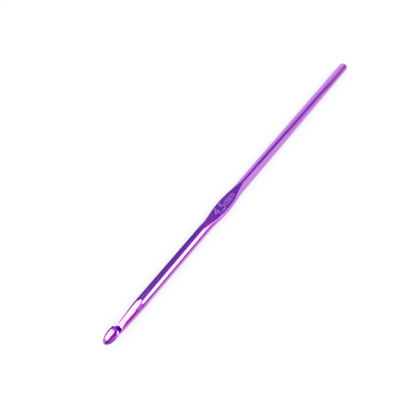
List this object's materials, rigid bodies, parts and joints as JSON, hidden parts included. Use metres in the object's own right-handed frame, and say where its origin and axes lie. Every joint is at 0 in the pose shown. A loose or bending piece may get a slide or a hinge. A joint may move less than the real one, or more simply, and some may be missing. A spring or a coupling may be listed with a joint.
{
  "type": "crochet hook",
  "caption": "Slim one-piece metal hook: rounded nose with an undercut lip, sloping throat, tapered neck, flattened thumb rest and a plain round handle with a domed end.",
  "frame": {"origin": "middle of the hook's length, straight below the rod axis, on the plane that the round rod stands on", "axes": "+X from the nose to the handle end along the rod axis, +Z the side that the mouth and the upper flat of the thumb rest face, +Y completes the right-handed set"},
  "size_m": [0.16, 0.006, 0.0047],
  "materials": {
    "anodised_aluminium": "polished and anodised, dyed violet"
  },
  "bodies": {
    "root": {"head": "anodised_aluminium", "shank": "anodised_aluminium", "thumb_rest": "anodised_aluminium", "handle": "anodised_aluminium"}
  },
  "joints": []
}
